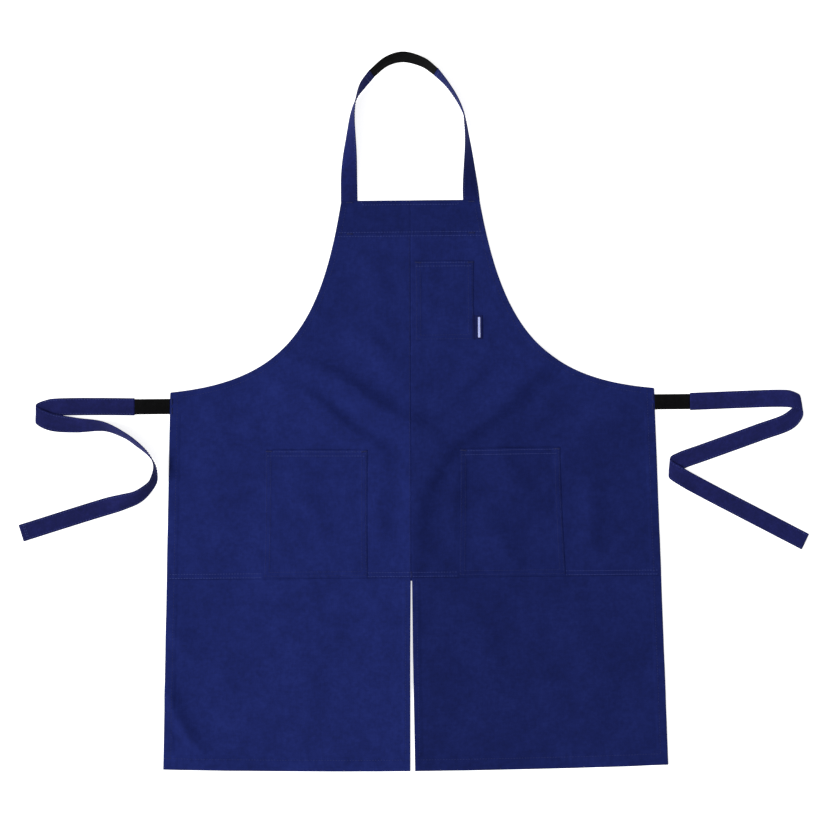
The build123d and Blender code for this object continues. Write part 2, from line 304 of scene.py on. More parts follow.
# Ties of the same cotton in a finer twill, folded and pressed, so they have a soft lavender
# sheen where they turn edge on. Streaks run along the tie, on its own UV map.
TIE = dict(warp_mm=(1.2, 14), weft_mm=(3, 1.2), blotch_mm=20, bump_mm=0.18, coordinates="UV", roughness=0.8,
           specular=0.06, sheen_tint=srgb("6464F0"), sheen_roughness=0.3)
tie_cloth = woven("pressed_cotton_tie", "141840 191C4D 1E225A", sheen=0.12, **TIE)
# The neck strap is cut from a fresher length of it: a little bluer, and less polished by wear.
neck_cloth = woven("pressed_cotton_neck_strap", "111642 141B4F 18215C", sheen=0.06, **TIE)
# Knitted elastic: black, with rubber cores in lengthwise ribs and a fine crosswise knit.
knitted_elastic = woven(
    "black_knitted_elastic", "030304 060607 0C0C0E", (1.0, 1.6), (1.6, 1.0), 8, 0.2,
    coordinates="UV", roughness=0.85, specular=0.07,
)
# Polyester sewing thread, twisted and slightly shinier than the cloth, a shade lighter.
THREAD_FINISH = dict(warp_mm=(1.5, 0.4), weft_mm=(1.5, 0.4), blotch_mm=6, bump_mm=0.05, roughness=0.6,
                     specular=0.3)
thread = woven("navy_polyester_thread", "28336C 313D7B 3A478A", **THREAD_FINISH)
# The same thread, painted a shade darker as painted shade for where it lies in the cloth's hollow and doesn't
# catch the light; used in the hems, the rows behind, the pockets' sides and the bartacks.
thread_painted_shade = woven("navy_hem_thread", "121A4C 161F57 1A2460", **THREAD_FINISH)
# Damask label: navy satin ground, very fine weave.
label_ground = woven(
    "woven_label_ground", "0E1340 111747 151C50", (4, 0.6), (4, 0.6), 10, 0.05, roughness=0.8, specular=0.1,
)
# The bar woven into it in pale rayon.
label_bar = woven(
    "pale_woven_bar", "8C96D0 AAB2E2 C2C9F0", (3, 0.5), (3, 0.5), 8, 0.05, roughness=0.5, specular=0.3,
)

# ---- how the cloth lies ---------------------------------------------------------------------


def smooth(t):
    """Smoothstep: 0 below 0, 1 above 1, and 3t^2 - 2t^3 between."""
    t = np.clip(t, 0, 1)
    return t * t * (3 - 2 * t)


def spline(points, count):
    """Catmull-Rom curve through the points, count samples evenly spread in the parameter."""
    p = np.asarray(points, float)
    p = np.vstack([2 * p[0] - p[1], p, 2 * p[-1] - p[-2]])
    t = np.linspace(0, len(p) - 3 - 1e-9, count)
    k = t.astype(int)
    f = (t - k)[:, None]
    a, b, c, d = p[k], p[k + 1], p[k + 2], p[k + 3]
    return 0.5 * (2 * b + (c - a) * f + (2 * a - 5 * b + 4 * c - d) * f**2 + (3 * b - a - 3 * c + d) * f**3)


def along_run(at, run, rows):
    """Rows given at places along a run, interpolated at other places."""
    return np.stack([np.interp(at, run, column) for column in rows.T], -1)


def near_path(x, y, path):
    """Distance to a broken line in plan, positive on its left, and the share of its length reached."""
    p = np.asarray(path, float)
    step = p[1:] - p[:-1]
    length = np.hypot(*step.T)
    start = np.concatenate([[0], np.cumsum(length)[:-1]])
    offset = np.stack([np.ravel(x), np.ravel(y)], -1)[:, None, :] - p[:-1]
    t = np.clip((offset * step).sum(-1) / length**2, 0, 1)
    gap = np.hypot(*np.moveaxis(offset - t[..., None] * step, -1, 0))
    side = np.sign(step[:, 0] * offset[..., 1] - step[:, 1] * offset[..., 0])
    rows, best = np.arange(len(gap)), gap.argmin(1)
    share = (start[best] + t[rows, best] * length[best]) / length.sum()
    return (gap * side)[rows, best].reshape(np.shape(x)), share.reshape(np.shape(x))


def side_x(y):
    """Half width of the straight side at a height y."""
    return WAIST_HALF + (HEM_HALF - WAIST_HALF) * np.asarray(y, float) / HEM


def seam_x(y):
    """Centre seam: it leans a little to the left on its way down, as cloth does when it is laid out."""
    return np.maximum(SEAM_LEAN * (BIB_TOP - np.asarray(y, float)), SEAM_LOW_X)


def slit_x(y):
    """Half the gap of the slit at a height y."""
    return SLIT_TOP + (SLIT_HEM - SLIT_TOP) * (LEG_TOP - np.asarray(y, float)) / (LEG_TOP - HEM)


def hem_line(a):
    """Height of the bottom hem at a distance a from the slit: a parabola that rises to the corner."""
    return HEM + HEM_CORNER_RISE * (a / HEM_HALF) ** 2


def armhole_points(count):
    """Right armhole, neck end first: one cubic Bezier curve, points evenly spread along it."""
    corners = np.array([
        (BIB_HALF, BIB_TOP),
        (BIB_HALF + NECK_REACH, BIB_TOP - NECK_DROP),
        (WAIST_HALF - WAIST_REACH, WAIST_RISE),
        (WAIST_HALF, 0),
    ])
    t = np.linspace(0, 1, 400)[:, None]
    weights = np.hstack([(1 - t)**3, 3 * t * (1 - t)**2, 3 * t**2 * (1 - t), t**3])
    fine = weights @ corners
    run = np.concatenate([[0], np.cumsum(np.hypot(*np.diff(fine, axis=0).T))])
    return along_run(np.linspace(0, run[-1], count), run, fine)


ARMHOLE = armhole_points(60)
ARMHOLE_RUN = float(np.hypot(*np.diff(ARMHOLE, axis=0).T).sum())

# Folds pressed into the cloth: the path of the crest, its height, and how far the cloth slopes
# down on the left and on the right of that path. The first three sag from both armholes to the belly.
FOLDS = [
    ([(-206, 50), (-156, 34), (-112, 16), (-71, -13), (-39, -35), (-4, -51), (34, -72), (52, -84)],
     11.8, 17, 25),
    ([(-226, 14), (-185, 4), (-153, -12), (-123, -36), (-92, -62), (-66, -80), (-49, -98), (-38, -130)],
     9.4, 14, 25),
    ([(262, 104), (196, 38), (138, -16), (84, -61), (58, -79), (40, -100), (21, -131), (7, -165), (2, -262)],
     11.8, 19, 27),
    ([(254, 20), (190, -36), (122, -78), (78, -104), (62, -150), (60, -200), (62, -262)], 5.2, 17, 14),
    ([(150, 62), (92, 20), (54, -16), (26, -50)], 4.4, 12, 18),
    ([(-84, 96), (-50, 64), (-22, 34), (-2, 8)], 4.4, 13, 24),
    ([(-376, -430), (-362, -472), (-344, -508), (-312, -544)], 8.0, 14, 10),
    ([(-370, -330), (-352, -372), (-322, -404)], 4.0, 20, 13),
    ([(322, -20), (262, -62), (222, -112), (206, -170)], 4.4, 24, 16),
    ([(-60, -130), (-52, -180), (-50, -250)], 4.0, 18, 13),
    ([(112, -84), (134, -112), (150, -150), (152, -178)], 6.5, 26, 22),
    ([(96, -172), (112, -208), (136, -238), (166, -266)], 6.5, 24, 18),
    ([(262, -120), (266, -180), (258, -270)], 5.0, 20, 14),
    ([(-320, -60), (-290, -120), (-300, -200)], 2.6, 26, 24),
    ([(-196, -130), (-160, -160), (-130, -220)], 3.0, 20, 16),
    ([(70, -330), (110, -400), (92, -500)], 3.4, 26, 20),
    ([(230, -330), (262, -400), (250, -520)], 3.2, 30, 22),
    ([(-130, -330), (-170, -400), (-150, -510)], 2.6, 26, 22),
    ([(-70, 210), (-48, 150), (-60, 100)], 2.4, 18, 16),
]
FOLD_PATHS = [(spline(path, 20), *sizes) for path, *sizes in FOLDS]
# Slow waves: wave number, direction, phase and height, with 34 to 170 mm from crest to crest.
WAVES = [
    (2 * np.pi / rng.uniform(34, 170), rng.uniform(0, np.pi), rng.uniform(0, 2 * np.pi),
     rng.uniform(0.1, 0.3))
    for _ in range(28)
]
CROWN, CROWN_HALF = 2.6, 70
LOWEST = 0.4
# Where straps are sewn on, the cloth lies flat for some way round.
ANCHORS = [(-91, BIB_TOP), (91, BIB_TOP), (-WAIST_HALF, elastic_low[1]), (WAIST_HALF, elastic_low[1])]
ANCHOR_REACH = 34.0


def lie(x, y):
    """Gap between the floor and the back of the cloth, in millimetres.

    A low crown along the centre seam, plus each fold as a ridge whose height is a Gaussian of
    the distance to its crest and fades at both ends, plus a sum of seeded slow sine waves. What
    would come below LOWEST dies away to nothing above the floor, and the whole is pressed down
    near the places where straps are sewn on.
    """
    x, y = np.asarray(x, float), np.asarray(y, float)
    ends = smooth((y + 540) / 200) * smooth((BIB_TOP - y) / 120)
    height = CROWN * np.exp(-((x - seam_x(y)) / CROWN_HALF) ** 2) * ends
    for path, ridge, left, right in FOLD_PATHS:
        gap, share = near_path(x, y, path)
        end = np.sin(np.pi * np.clip(share, 0.01, 0.99)) ** 0.8
        height = height + ridge * np.exp(-(gap / np.where(gap > 0, left, right)) ** 2) * end
    waves = sum(a * np.sin(k * (x * np.cos(q) + y * np.sin(q)) + p) for k, q, p, a in WAVES)
    height = height + waves + 0.8
    low = LOWEST * np.exp(np.minimum(height, LOWEST) / LOWEST - 1)
    height = np.where(height > LOWEST, height, low)
    for ax, ay in ANCHORS:
        height = height * (1 - 0.95 * np.exp(-((x - ax) ** 2 + (y - ay) ** 2) / ANCHOR_REACH ** 2))
    return height


def pucker(run, gap, amount=0.45, reach=11.0, step=9.0):
    """Small gathers along a seam: two sine waves of the length along it, less further off it."""
    ripple = np.sin(2 * np.pi * run / step) + 0.7 * np.sin(2 * np.pi * run / (step * 1.63) + 1.3)
    slow = 0.6 + 0.4 * np.sin(run / 31.0)
    return amount * 0.6 * ripple * slow * np.exp(-(np.abs(gap) / reach) ** 1.5)


def band(gap, width, edge=2.5):
    """1 within width of an edge, 0 beyond it, smooth over a few millimetres between."""
    return 1 - smooth((np.abs(gap) - width) / edge)


def front_terms(x, y):
    """Shares of facing and of hem under the front, and its gathers along the seams."""
    a = np.abs(x)
    gap, share = near_path(a, y, ARMHOLE)
    side_gap = np.where(y < 2, side_x(y) - a, 99.0)
    off_seam = x - seam_x(y)
    facing = np.maximum(band(gap, ARMHOLE_FACING, 16), 1 - smooth((FACING_EDGE - y) / 3))
    facing = np.maximum(facing, band(off_seam, TAPE_HALF, 16))
    hem = band(side_gap, SIDE_HEM)
    gathers = pucker(share * ARMHOLE_RUN, np.abs(gap) - 6, 0.3) + pucker(y, side_gap - 11, 0.35)
    gathers = gathers + pucker(x, y - FACING_EDGE - 3, 0.3) + pucker(y, off_seam, 0.35, 9)
    gathers = gathers + pucker(x, y - LEG_SEAM - 4, 0.3) - 0.35 * np.exp(-(off_seam / 1.6) ** 2)
    return facing, hem, gathers


def front_surfaces(x, y):
    """Top and back of the front panels: hems are folded back under them, facings lie beneath."""
    facing, hem, gathers = front_terms(x, y)
    base = lie(x, y) + SLACK + LAYER * np.maximum(np.maximum(facing, hem), band(y - LEG_SEAM, LAP))
    top = base + CLOTH + gathers
    back = base + gathers * (1 - hem) - LAYER * hem
    lap = smooth((LEG_SEAM - y) / BODY_GAP)
    low = lie(x, y) + SLACK
    return top + lap * (low + LAYER - 0.1 - top), back + lap * (low - back)


def leg_surfaces(x, y):
    """Top and back of the leg panels, with their hems folded back under them."""
    off_slit = np.abs(x - seam_x(y))
    side_gap = side_x(y) - np.abs(x)
    hem_gap = y - hem_line(off_slit)
    slit_gap = off_slit - slit_x(y)
    hem = np.maximum(band(side_gap, SIDE_HEM), band(hem_gap, BOTTOM_HEM))
    hem = np.maximum(hem, band(slit_gap, SLIT_HEM_WIDTH))
    gathers = pucker(y, side_gap - 11, 0.35) + pucker(x, hem_gap - 16, 0.5, 12, 11)
    gathers = gathers + pucker(y, slit_gap - 7, 0.3) + pucker(x, y - LEG_SEAM - 4, 0.3)
    under_lap = band(y - LEG_TOP, LAP)
    base = lie(x, y) + SLACK + LAYER * np.maximum(hem, under_lap)
    return base + CLOTH + gathers, base + gathers * (1 - hem) - LAYER * hem * (1 - under_lap)


def one_face(surfaces, which):
    """One of the two surfaces that a function of x and y gives, as a function of its own."""
    return lambda x, y: surfaces(x, y)[which]


front_top, front_back = (one_face(front_surfaces, which) for which in (0, 1))
leg_top, leg_back = (one_face(leg_surfaces, which) for which in (0, 1))

# ---- meshes ---------------------------------------------------------------------------------


def leg_bends(piece):
    """Bake a leg piece's place into its mesh. Where a lifted leg would bend is worked out, but nothing makes
    it bend.
    """
    start, end = (metres(0.0, float(LEG_TOP - away), 0.0) for away in LEG_BEND)
    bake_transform(piece)
    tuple(start)
    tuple(end)


def new_piece(name, points, faces, body, material, uv=None):
    """Smooth shaded mesh object from points in millimetres, riding on a body unless that is None."""
    mesh = bpy.data.meshes.new(name)
    mesh.from_pydata((np.asarray(points) * MM).tolist(), [], faces)
    if uv is not None:
        layer = mesh.uv_layers.new(name="UVMap")
        corner = np.zeros(len(mesh.loops), np.int32)
        mesh.loops.foreach_get("vertex_index", corner)
        layer.data.foreach_set("uv", (np.asarray(uv)[corner] * MM).ravel().astype(np.float32))
    mesh.polygons.foreach_set("use_smooth", np.ones(len(mesh.polygons), bool))
    mesh.update()
    piece = bpy.data.objects.new(name, mesh)
    bpy.context.scene.collection.objects.link(piece)
    mesh.materials.append(material)
    if body:
        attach(piece, body)
    return piece


def quads(index):
    """Quads of a grid of vertex numbers, in the order (i, i+1, i+1 across, across)."""
    return np.stack([index[:-1, :-1], index[1:, :-1], index[1:, 1:], index[:-1, 1:]], -1).reshape(-1, 4)


def spread(length, step, rim=(0.25, 0.7, 1.4), dense_start=0.0, dense_end=0.0, dense_step=1.3):
    """Places from 0 to 1 along a length: close together at both rims, with finer stretches beside them."""
    start, end = list(rim), list(rim)
    start += list(np.arange(rim[-1] + dense_step, dense_start, dense_step))
    end += list(np.arange(rim[-1] + dense_step, dense_end, dense_step))
    count = max(int((length - start[-1] - end[-1]) / step), 2)
    middle = np.linspace(start[-1], length - end[-1], count)
    return np.concatenate([[0], start[:-1], middle, length - np.array(end[:-1][::-1]), [length]]) / length


def rim_round(places, length, thickness):
    """Share of the full thickness at each place: a quarter ellipse over half a thickness at both ends."""
    t = np.clip(np.minimum(places, 1 - places) * length / (0.6 * thickness), 0, 1)
    return np.sqrt(1 - (1 - t) ** 2)


def sheet_piece(name, x, y, surfaces, rims, body, material):
    """Closed sheet over a grid: its top and back close on each other at the rims and share their border."""
    top, back = surfaces
    middle = (top + back) / 2
    top, back = middle + (top - middle) * rims, middle + (back - middle) * rims
    rows, columns = x.shape
    inner = (slice(1, -1), slice(1, -1))
    upper = np.arange(rows * columns).reshape(rows, columns)
    lower = upper.copy()
    lower[inner] = rows * columns + np.arange((rows - 2) * (columns - 2)).reshape(rows - 2, -1)
    points = np.concatenate([
        np.stack([x, y, top], -1).reshape(-1, 3),
        np.stack([x[inner], y[inner], back[inner]], -1).reshape(-1, 3),
    ])
    i, j = rows // 2, columns // 2
    down, across = ((x[at] - x[i, j], y[at] - y[i, j]) for at in ((i + 1, j), (i, j + 1)))
    turn = down[0] * across[1] - down[1] * across[0]
    faces = np.concatenate([quads(upper), quads(lower)[:, ::-1]])
    faces = faces if turn > 0 else faces[:, ::-1]
    return new_piece(name, points, faces.tolist(), body, material)


def patch(corners, across, up, bow=0.0):
    """Grid over four corners (bottom left, bottom right, top left, top right), its sides bowed in."""
    a, b, c, d = (np.array(p, float) for p in corners)
    u, v = across[None, :, None], up[:, None, None]
    flat = (a * (1 - u) + b * u) * (1 - v) + (c * (1 - u) + d * u) * v
    x, y = flat[..., 0], flat[..., 1]
    u, v = u[..., 0], v[..., 0]
    return x - bow * np.sin(np.pi * v) * (2 * u - 1), y


def grid_rims(x_places, width, y_places, height, thickness):
    """Rim shares over a grid, rounded at all four edges."""
    return np.outer(rim_round(y_places, height, thickness), rim_round(x_places, width, thickness))


def front_panel(sign, name):
    """Half of the front on a grid: rows run from the centre seam to the outline, columns down it.

    A row starts on the seam, spread evenly from the bib's top to the leg seam, and ends on the
    armhole for the first part and on the straight side for the rest. The last rows are the
    seam allowance that laps under the leg.
    """
    height = BIB_TOP - LEG_SEAM
    down = spread(height, 2.05)
    out = spread(WAIST_HALF, 2.9, dense_start=10, dense_end=24, dense_step=1.6)
    armhole = armhole_points(400)
    place = np.clip(down / ARMHOLE_SHARE, 0, 1)
    even = np.linspace(0, 1, 400)
    y_side = LEG_SEAM * np.clip((down - ARMHOLE_SHARE) / (1 - ARMHOLE_SHARE), 0, 1)
    on_side = down > ARMHOLE_SHARE
    x_end = np.where(on_side, side_x(y_side), np.interp(place, even, armhole[:, 0]))
    y_end = np.where(on_side, y_side, np.interp(place, even, armhole[:, 1]))
    y_seam = BIB_TOP - height * down
    lap = LEG_SEAM - np.array([0.1, 0.2, BODY_GAP, 1.0, 2.2, 3.4, LAP - 0.8, LAP - 0.3, LAP])
    x_end = np.concatenate([x_end, np.full(len(lap), side_x(LEG_SEAM) - 0.3)])
    y_end, y_seam = np.concatenate([y_end, lap]), np.concatenate([y_seam, lap])
    x0 = seam_x(y_seam)
    x = x0[:, None] + (sign * x_end - x0)[:, None] * out
    y = y_seam[:, None] + (y_end - y_seam)[:, None] * out
    whole = BIB_TOP - lap[-1]
    rims = grid_rims(out, WAIST_HALF, (BIB_TOP - y_seam) / whole, whole, BODY_RIM)
    # The left half takes the canvas with painted light, the right half the canvas with painted shade.
    cloth = canvas_right_painted_shade if sign > 0 else canvas_left_painted_light
    piece = sheet_piece(name + "_cloth", x, y, front_surfaces(x, y), rims, "front", cloth)
    area = np.trapz(armhole[::-1, 0], armhole[::-1, 1]) - LEG_SEAM * (WAIST_HALF + side_x(LEG_SEAM)) / 2
    area = float(area + SIDE_HEM * -LEG_SEAM) * MM * MM
    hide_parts(name)


def leg_panel(sign, name):
    """Leg panel on a grid from the slit to the side and from the leg seam to the curved hem."""
    out = spread(HEM_HALF, 2.9, dense_start=16, dense_end=20, dense_step=1.6)
    down = spread(LEG_TOP - HEM, 2.3, dense_start=8, dense_end=26)
    a, d = out[None, :], down[:, None]
    hem = hem_line(slit_x(HEM) + a * (HEM_HALF - slit_x(HEM)))
    y = LEG_TOP + d * (hem - LEG_TOP)
    start = seam_x(y) + sign * slit_x(y)
    x = start + a * (sign * side_x(y) - start)
    rims = grid_rims(out, HEM_HALF, down, LEG_TOP - HEM, BODY_RIM)
    # The left leg takes the canvas with painted light, the right leg the canvas with painted shade.
    cloth = canvas_right_painted_shade if sign > 0 else canvas_left_painted_light
    piece = sheet_piece(name + "_cloth", x, y, leg_surfaces(x, y), rims, None, cloth)
    leg_bends(piece)
    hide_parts(name)


front_panel(1, "right_front_panel")
front_panel(-1, "left_front_panel")
leg_panel(1, "right_leg_panel")
leg_panel(-1, "left_leg_panel")

# ---- facings, tape and pockets --------------------------------------------------------------


def facing_piece(name, x, y, rims):
    """Facing of canvas that lies just under the front, replacing the CAD node of the same name."""
    top = front_back(x, y) - 0.03
    surfaces = (top, top - LAYER + 0.07)
    piece = sheet_piece(name + "_cloth", x, y, surfaces, rims, "front", canvas_inside)
    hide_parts(name)


up = spread(BIB_TOP - FACING_EDGE, 2.2)
across = spread(2 * BIB_HALF, 2.2)
y = (FACING_EDGE + (BIB_TOP - 0.6 - FACING_EDGE) * up)[:, None] + 0 * across[None, :]
outline = np.interp(y, ARMHOLE[::-1, 1], ARMHOLE[::-1, 0]) - 0.7
rims = grid_rims(across, 2 * BIB_HALF, up, BIB_TOP - FACING_EDGE, FACING_RIM)
cut = (2 * BIB_HALF + 18, BIB_TOP - FACING_EDGE + 8)
facing_piece("bib_facing", outline * (2 * across - 1)[None, :], y, rims)

edge = armhole_points(240)
edge = edge[(edge[:, 1] < FACING_EDGE - 0.6) & (edge[:, 0] < WAIST_HALF - SIDE_HEM - 3)]
heading = np.gradient(edge, axis=0)
heading /= np.hypot(*heading.T)[:, None]
inward = np.stack([heading[:, 1], -heading[:, 0]], -1)
width = spread(ARMHOLE_FACING, 1.8)
strip = edge[:, None] + inward[:, None] * (0.7 + (ARMHOLE_FACING - 1) * width)[None, :, None]
long = float(np.hypot(*np.diff(edge, axis=0).T).sum())
rims = grid_rims(width, ARMHOLE_FACING, np.linspace(0, 1, len(edge)), long, FACING_RIM)
cut = (ARMHOLE_FACING + 6, long)
for sign, side in ((1, "right"), (-1, "left")):
    x, y = sign * strip[..., 0], strip[..., 1]
    facing_piece(side + "_armhole_facing", x, y, rims)

up = spread(FACING_EDGE - LEG_SEAM - 1, 2.4)
across = spread(2 * TAPE_HALF, 1.8)
y = (LEG_SEAM + 0.4 + (FACING_EDGE - LEG_SEAM - 1) * up)[:, None] + 0 * across[None, :]
cut = (2 * TAPE_HALF, FACING_EDGE - LEG_SEAM)
rims = grid_rims(across, cut[0], up, cut[1], FACING_RIM)
facing_piece("centre_seam_tape", seam_x(y) + TAPE_HALF * (2 * across - 1)[None, :], y, rims)

# Each pocket's corners (bottom left, bottom right, top left, top right), how far its mouth stands
# off the front, and the spacing of its grid.
POCKETS = {
    "left_hip_pocket": ([(-225, -278.5), (-69, -278.5), (-220.5, -87), (-67.5, -88.5)], 2.4, 1.7),
    "right_hip_pocket": ([(67, -278.5), (227, -278.5), (70.5, -88), (220, -87)], 3.2, 1.7),
    "chest_pocket": ([(5, 74), (94, 74), (5.5, 193), (94, 193)], 1.6, 1.3),
}


def node_size(name):
    """Width and height of a CAD node in millimetres."""
    low, high = node_box(name)
    return high[0] - low[0], high[1] - low[1]


def pocket_surfaces(name, x, y, u, v):
    """Top and back of a patch pocket: u and v run from 0 to 1 over it, bottom left corner first.

    Its margins lie on the front; inside them the cloth stands off by mouth times
    sin(pi u)^0.8 * v^1.4. Edges turned under and the mouth's hem add a layer, pressed thin at the rim.
    """
    mouth = POCKETS[name][1]
    width, height = node_size(name)
    ground = front_top(x, y) + 0.06
    to_side = np.minimum(u, 1 - u) * width
    turned = np.maximum(band(to_side, POCKET_TURN), band(v * height, POCKET_TURN))
    turned = np.maximum(turned, band((1 - v) * height, POCKET_HEM))
    inside = smooth((to_side - POCKET_TURN) / 14) * smooth((v * height - POCKET_TURN) / 20)
    slack = mouth * np.sin(np.pi * u) ** 0.8 * v ** 1.4 * (0.8 + 0.2 * np.sin(7 * u + 2))
    ripple = pucker(v * height, to_side - 5, 0.25) + pucker(u * width, (1 - v) * height - 7, 0.25)
    to_edge = np.minimum(to_side, np.minimum(v, 1 - v) * height)
    back = ground + inside * slack
    return back + CLOTH + TURNED * turned - PRESSED_EDGE * (1 - smooth(to_edge / 5)) + ripple * 0.8, back


def pocket_piece(name):
    """Patch pocket on the front, replacing the CAD node of the same name."""
    corners, _, step = POCKETS[name]
    width, height = node_size(name)
    across, up = spread(width, step), spread(height, step)
    x, y = patch(corners, across, up, POCKET_BOW)
    u, v = np.broadcast_to(across[None, :], x.shape), np.broadcast_to(up[:, None], x.shape)
    rims = grid_rims(across, width, up, height, POCKET_RIM)
    # A pocket takes its half's canvas: painted light on the left, painted shade on the right.
    cloth = canvas_left_painted_light if corners[0][0] < 0 else canvas_right_painted_shade
    surfaces = pocket_surfaces(name, x, y, u, v)
    piece = sheet_piece(name + "_cloth", x, y, surfaces, rims, "front", cloth)
    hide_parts(name)


for name in POCKETS:
    pocket_piece(name)

# ---- straps ---------------------------------------------------------------------------------


def strap_frames(stations, start, width, thickness, side, count, tuck=(0, 0)):
    """Centres, width directions and face normals along a strap, smoothed through its stations.

    tuck is how far the strap runs on past its first and its last station, into the bib's hem.
    """
    s = spline(stations, count)
    b, t, p = np.radians(s[:, 3:]).T
    across = np.stack([np.cos(t) * np.cos(b), np.cos(t) * np.sin(b), np.sin(t)], -1)
    heading = np.stack([-np.sin(b) * side, np.cos(b) * side, 0 * b], -1)
    along = heading * np.cos(p)[:, None] + np.array([0, 0, 1]) * np.sin(p)[:, None]
    z = s[:, 2] + width / 2 * np.abs(np.sin(t)) + thickness / 2
    centre = np.stack([start[0] + s[:, 0], start[1] + s[:, 1], z], -1)
    frames = [centre, across, np.cross(along, across)]
    for end, way in ((0, -tuck[0]), (-1, tuck[1])):
        if way:
            ring = [f[end] for f in frames]
            ring[0] = ring[0] + along[end] * way
            parts = [(r[None], f) if end == 0 else (f, r[None]) for r, f in zip(ring, frames)]
            frames = [np.concatenate(part) for part in parts]
    return even_frames(frames, STRAP_STEP)


def even_frames(frames, step):
    """Run along a strap, and its frames resampled evenly along it, directions made unit length."""
    run = np.concatenate([[0], np.cumsum(np.linalg.norm(np.diff(frames[0], axis=0), axis=1))])
    even = np.linspace(0, run[-1], int(run[-1] / step) + 2)
    centre, *directions = (along_run(even, run, part) for part in frames)
    return even, centre, *(part / np.linalg.norm(part, axis=1)[:, None] for part in directions)


def strap_piece(name, frames, width, thickness, body, material, ribs=0):
    """Flat strap: a rounded strip section carried along the frames, its ends closed.

    The section is u = w/2 cos(a), v = t/2 |sin(a)|^0.35 with the sign of sin(a), so it is flat
    with round edges; ribs adds that many lengthwise ridges to both faces. A slow ripple of a
    quarter of a millimetre keeps the faces from being dead flat.
    """
    run, centre, across, normal = frames
    a = np.linspace(0, 2 * np.pi, 48 if ribs else 30, endpoint=False)
    shape = np.sign(np.cos(a)) * np.abs(np.cos(a)) ** 0.75
    u = width / 2 * shape
    v = thickness / 2 * np.sign(np.sin(a)) * np.abs(np.sin(a)) ** 0.35
    if ribs:
        v = v * (0.86 + 0.14 * np.cos(np.pi * ribs * shape))
    v = v[None, :] + 0.25 * np.sin(run / 17.0)[:, None] * np.cos(np.pi * shape)[None, :]
    points = centre[:, None] + across[:, None] * u[None, :, None] + normal[:, None] * v[..., None]
    rings, sides = points.shape[:2]
    index = np.arange(rings * sides).reshape(rings, sides)
    index = np.concatenate([index, index[:, :1]], 1)
    faces = quads(index)[:, ::-1].tolist() + [index[0, -2::-1].tolist(), index[-1, :-1].tolist()]
    if np.dot(np.cross(across[0], normal[0]), centre[1] - centre[0]) < 0:
        faces = [face[::-1] for face in faces]
    uv = np.stack([np.repeat(run, sides), np.tile(u, rings)], -1)
    piece = new_piece(name, points.reshape(-1, 3), faces, body, material, uv)
    metres(width, float(run[-1]))
    return piece


elastic_mid = (elastic_low[1] + elastic_high[1]) / 2
tie_start = elastic_high[0] + BODY_GAP
neck_start = (0, BIB_TOP + BODY_GAP)
# How far the neck straps run on into the bib's hem.
TUCK = 1.6
# Each strap's body, cloth, width, and its stations, start, side, count of samples and tucks.
TIES, NECKS = (tie_cloth, TIE_WIDTH), (neck_cloth, NECK_WIDTH)
TAPES = {
    "left_waist_tie": ("left_tie", *TIES, LEFT_TIE, (-tie_start, elastic_mid), -1, 900, (0, 0)),
    "right_waist_tie": ("right_tie", *TIES, RIGHT_TIE, (tie_start, elastic_mid), 1, 900, (0, 0)),
    "left_neck_strap": ("neck_loop", *NECKS, LEFT_NECK, neck_start, 1, 500, (TUCK, 0)),
    "right_neck_strap": ("neck_loop", *NECKS, RIGHT_NECK, neck_start, 1, 500, (0, TUCK)),
}
STRAPS = {}
for name, (body, cloth, width, stations, start, side, count, tuck) in TAPES.items():
    frames = strap_frames(stations, start, width, STRAP_THICK, side, count, tuck)
    made = strap_piece(name + "_cloth", frames, width, STRAP_THICK, body, cloth)
    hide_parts(name)
    STRAPS[name] = (body, width, frames)
frames = strap_frames(ELASTIC_NECK, neck_start, KNIT_WIDTH, ELASTIC_THICK, 1, 300)
made = strap_piece("neck_elastic_knit", frames, KNIT_WIDTH, ELASTIC_THICK, "neck_loop", knitted_elastic,
                   ribs=9)
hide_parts("neck_elastic")
for sign, side in ((-1, "left"), (1, "right")):
    low, high = node_box(side + "_waist_elastic")
    inner, outer = (high[0], low[0]) if sign < 0 else (low[0], high[0])
    x = np.linspace(inner - sign * 1.0, outer + sign * 0.2, 40)
    centre = np.column_stack([x, 0 * x + elastic_mid, 0 * x + ELASTIC_THICK / 2 + 0.05])
    flat = (centre, np.tile([0.0, -1.0, 0.0], (len(x), 1)), np.tile([0.0, 0.0, 1.0], (len(x), 1)))
    made = strap_piece(side + "_waist_elastic_knit", even_frames(flat, STRAP_STEP), high[1] - low[1],
                       ELASTIC_THICK, None, knitted_elastic, ribs=8)
    start, end = (metres(float(v), float(elastic_mid), ELASTIC_THICK / 2) for v in (inner, outer))
    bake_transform(made)
    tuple(start)
    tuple(end)
    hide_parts(side + "_waist_elastic")

# ---- stitches -------------------------------------------------------------------------------


